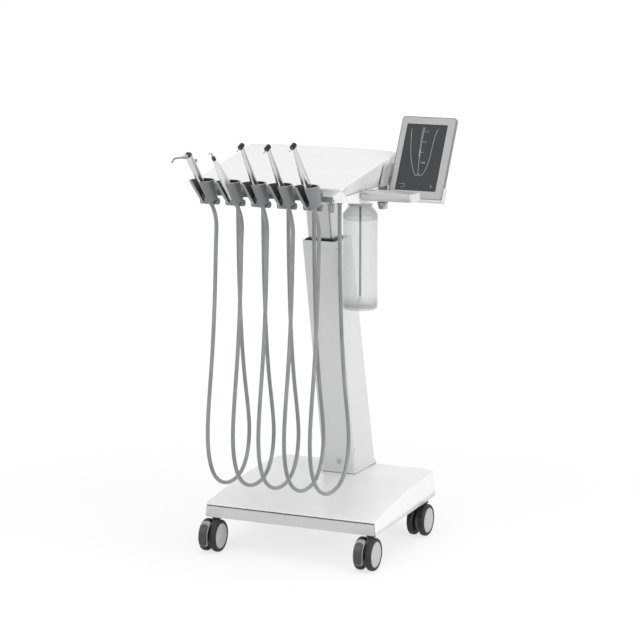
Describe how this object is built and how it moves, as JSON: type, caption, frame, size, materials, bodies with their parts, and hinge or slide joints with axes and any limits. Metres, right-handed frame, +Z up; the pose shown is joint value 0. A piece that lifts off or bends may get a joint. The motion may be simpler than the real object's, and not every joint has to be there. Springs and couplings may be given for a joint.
{
  "type": "portable dental unit",
  "caption": "Wheeled dental delivery cart: leaning lift column, wedge-shaped head, instruments in open cups on looped hoses, water bottle, tilting tablet and folding handle.",
  "frame": {"origin": "on the floor, midway between the four caster stems", "axes": "+Z up, -Y towards the instruments, +X towards the tablet and the side handle"},
  "size_m": [0.5438, 0.7298, 1.0042],
  "materials": {
    "casing_white": "satin moulded",
    "chassis_paint": "powder coated",
    "column_paint": "fine powder coat",
    "inner_metal": "anodised satin",
    "mast_steel": "painted",
    "black_plastic": "fine grain",
    "spring_paint": "painted",
    "chrome": "polished",
    "fitting_steel": "turned",
    "fork_plastic": "moulded",
    "tyre_rubber": "smooth tread",
    "pedal_plastic": "moulded",
    "valve_metal": "machined",
    "rail_grey": "satin",
    "holder_grey": "satin moulded",
    "hose_grey": "smooth silicone",
    "handpiece_white": "satin",
    "handpiece_metal": "satin plated",
    "button_grey": "moulded",
    "bottle_clear": "frosted translucent",
    "cap_white": "moulded",
    "handle_grey": "satin moulded",
    "knob_grey": "moulded",
    "bezel_grey": "satin",
    "cradle_grey": "moulded"
  },
  "bodies": {
    "base": {"base_cover": "casing_white", "base_chassis": "chassis_paint", "supply_inlets": "fitting_steel", "outer_column": "column_paint", "column_mast": "mast_steel", "column_collar": "black_plastic", "column_fasteners": "fitting_steel", "gas_spring_body": "spring_paint"},
    "head": {"inner_column": "inner_metal", "gas_spring_rod": "chrome", "tray_shell": "casing_white", "head_cover": "casing_white", "valve_block": "valve_metal", "holder_rail": "rail_grey", "holder_valves": "holder_grey", "hose_glands": "hose_grey", "hose_1": "hose_grey", "hose_2": "hose_grey", "hose_3": "hose_grey", "hose_4": "hose_grey", "hose_5": "hose_grey", "holder_1": "holder_grey", "holder_2": "holder_grey", "holder_3": "holder_grey", "holder_4": "holder_grey", "holder_5": "holder_grey", "syringe_body": "handpiece_metal", "scaler_body": "handpiece_white", "scaler_tip": "handpiece_metal", "turbine_1": "handpiece_metal", "turbine_2": "handpiece_metal", "turbine_3": "handpiece_metal", "bottle_cap": "cap_white", "pickup_tube": "black_plastic", "tablet_bracket": "cradle_grey"},
    "fork_front_left": {"caster_fork_front_left": "fork_plastic"},
    "wheels_front_left": {"caster_wheels_front_left": "tyre_rubber"},
    "pedal_front_left": {"brake_pedal_front_left": "pedal_plastic"},
    "fork_front_right": {"caster_fork_front_right": "fork_plastic"},
    "wheels_front_right": {"caster_wheels_front_right": "tyre_rubber"},
    "pedal_front_right": {"brake_pedal_front_right": "pedal_plastic"},
    "fork_back_left": {"caster_fork_back_left": "fork_plastic"},
    "wheels_back_left": {"caster_wheels_back_left": "tyre_rubber"},
    "fork_back_right": {"caster_fork_back_right": "fork_plastic"},
    "wheels_back_right": {"caster_wheels_back_right": "tyre_rubber"},
    "nozzle": {"syringe_nozzle": "chrome"},
    "air_button": {"syringe_air_button": "button_grey"},
    "water_button": {"syringe_water_button": "button_grey"},
    "cap_1": {"turbine_cap_1": "black_plastic"},
    "bur_1": {"bur_1": "fitting_steel"},
    "cap_2": {"turbine_cap_2": "black_plastic"},
    "bur_2": {"bur_2": "fitting_steel"},
    "cap_3": {"turbine_cap_3": "black_plastic"},
    "bur_3": {"bur_3": "fitting_steel"},
    "bottle": {"bottle": "bottle_clear"},
    "handle": {"side_handle": "handle_grey"},
    "handle_knob": {"handle_knob": "knob_grey"},
    "regulator": {"regulator_knob": "knob_grey"},
    "tablet_mount": {"tablet_cradle": "cradle_grey", "tablet": "bezel_grey"}
  },
  "joints": [
    {"name": "head_lift", "type": "slide", "parent": "base", "child": "head", "axis": [0, -0.2079, 0.9781], "range_m": [-0.05, 0.2]},
    {"name": "caster_swivel_front_left", "type": "hinge", "parent": "base", "child": "fork_front_left", "pos_m": [-0.193, -0.16, 0.08], "axis": [0, 0, 1], "continuous": true},
    {"name": "wheel_roll_front_left", "type": "hinge", "parent": "fork_front_left", "child": "wheels_front_left", "pos_m": [-0.193, -0.18, 0.0375], "axis": [1, 0, 0], "continuous": true},
    {"name": "brake_press_front_left", "type": "hinge", "parent": "fork_front_left", "child": "pedal_front_left", "pos_m": [-0.193, -0.18, 0.0375], "axis": [1, 0, 0], "range_deg": [0, 18]},
    {"name": "caster_swivel_front_right", "type": "hinge", "parent": "base", "child": "fork_front_right", "pos_m": [0.193, -0.16, 0.08], "axis": [0, 0, 1], "continuous": true},
    {"name": "wheel_roll_front_right", "type": "hinge", "parent": "fork_front_right", "child": "wheels_front_right", "pos_m": [0.193, -0.18, 0.0375], "axis": [1, 0, 0], "continuous": true},
    {"name": "brake_press_front_right", "type": "hinge", "parent": "fork_front_right", "child": "pedal_front_right", "pos_m": [0.193, -0.18, 0.0375], "axis": [1, 0, 0], "range_deg": [0, 18]},
    {"name": "caster_swivel_back_left", "type": "hinge", "parent": "base", "child": "fork_back_left", "pos_m": [-0.193, 0.16, 0.08], "axis": [0, 0, 1], "continuous": true},
    {"name": "wheel_roll_back_left", "type": "hinge", "parent": "fork_back_left", "child": "wheels_back_left", "pos_m": [-0.193, 0.14, 0.0375], "axis": [1, 0, 0], "continuous": true},
    {"name": "caster_swivel_back_right", "type": "hinge", "parent": "base", "child": "fork_back_right", "pos_m": [0.193, 0.16, 0.08], "axis": [0, 0, 1], "continuous": true},
    {"name": "wheel_roll_back_right", "type": "hinge", "parent": "fork_back_right", "child": "wheels_back_right", "pos_m": [0.193, 0.14, 0.0375], "axis": [1, 0, 0], "continuous": true},
    {"name": "nozzle_turn", "type": "hinge", "parent": "head", "child": "nozzle", "pos_m": [-0.124, -0.42212, 0.94703], "axis": [0, -0.999, 0.0436], "continuous": true},
    {"name": "air_button_press", "type": "slide", "parent": "head", "child": "air_button", "axis": [0, -0.7373, -0.6756], "range_m": [0, 0.0025], "stiffness_N_per_m": 600, "springref_m": -0.002},
    {"name": "water_button_press", "type": "slide", "parent": "head", "child": "water_button", "axis": [0, -0.7373, -0.6756], "range_m": [0, 0.0025], "stiffness_N_per_m": 600, "springref_m": -0.002},
    {"name": "turbine_cap_press_1", "type": "slide", "parent": "head", "child": "cap_1", "axis": [0, -0.9171, -0.3987], "range_m": [0, 0.0008], "stiffness_N_per_m": 1500, "springref_m": -0.001},
    {"name": "bur_spin_1", "type": "hinge", "parent": "head", "child": "bur_1", "pos_m": [0, -0.41991, 0.97461], "axis": [0, -0.9171, -0.3987], "continuous": true},
    {"name": "turbine_cap_press_2", "type": "slide", "parent": "head", "child": "cap_2", "axis": [0, -0.9171, -0.3987], "range_m": [0, 0.0008], "stiffness_N_per_m": 1500, "springref_m": -0.001},
    {"name": "bur_spin_2", "type": "hinge", "parent": "head", "child": "bur_2", "pos_m": [0.062, -0.41991, 0.97461], "axis": [0, -0.9171, -0.3987], "continuous": true},
    {"name": "turbine_cap_press_3", "type": "slide", "parent": "head", "child": "cap_3", "axis": [0, -0.9171, -0.3987], "range_m": [0, 0.0008], "stiffness_N_per_m": 1500, "springref_m": -0.001},
    {"name": "bur_spin_3", "type": "hinge", "parent": "head", "child": "bur_3", "pos_m": [0.124, -0.4252, 0.98189], "axis": [0, -0.9171, -0.3987], "continuous": true},
    {"name": "bottle_unscrew", "type": "hinge", "parent": "head", "child": "bottle", "pos_m": [0.11, -0.032, 0.8], "axis": [0, 0, 1], "range_deg": [-360, 0]},
    {"name": "handle_fold", "type": "hinge", "parent": "head", "child": "handle", "pos_m": [0.193, -0.1805, 0.8503], "axis": [0, 1, 0], "range_deg": [0, 90]},
    {"name": "handle_knob_turn", "type": "hinge", "parent": "handle", "child": "handle_knob", "pos_m": [0.226, -0.1805, 0.838], "axis": [0, 0, 1], "range_deg": [-180, 180]},
    {"name": "regulator_turn", "type": "hinge", "parent": "head", "child": "regulator", "pos_m": [0.125, -0.227, 0.83], "axis": [0, 0, 1], "range_deg": [-150, 150]},
    {"name": "tablet_tilt", "type": "hinge", "parent": "head", "child": "tablet_mount", "pos_m": [0.2, -0.03905, 0.86343], "axis": [1, 0, 0], "range_deg": [-15, 30]}
  ]
}
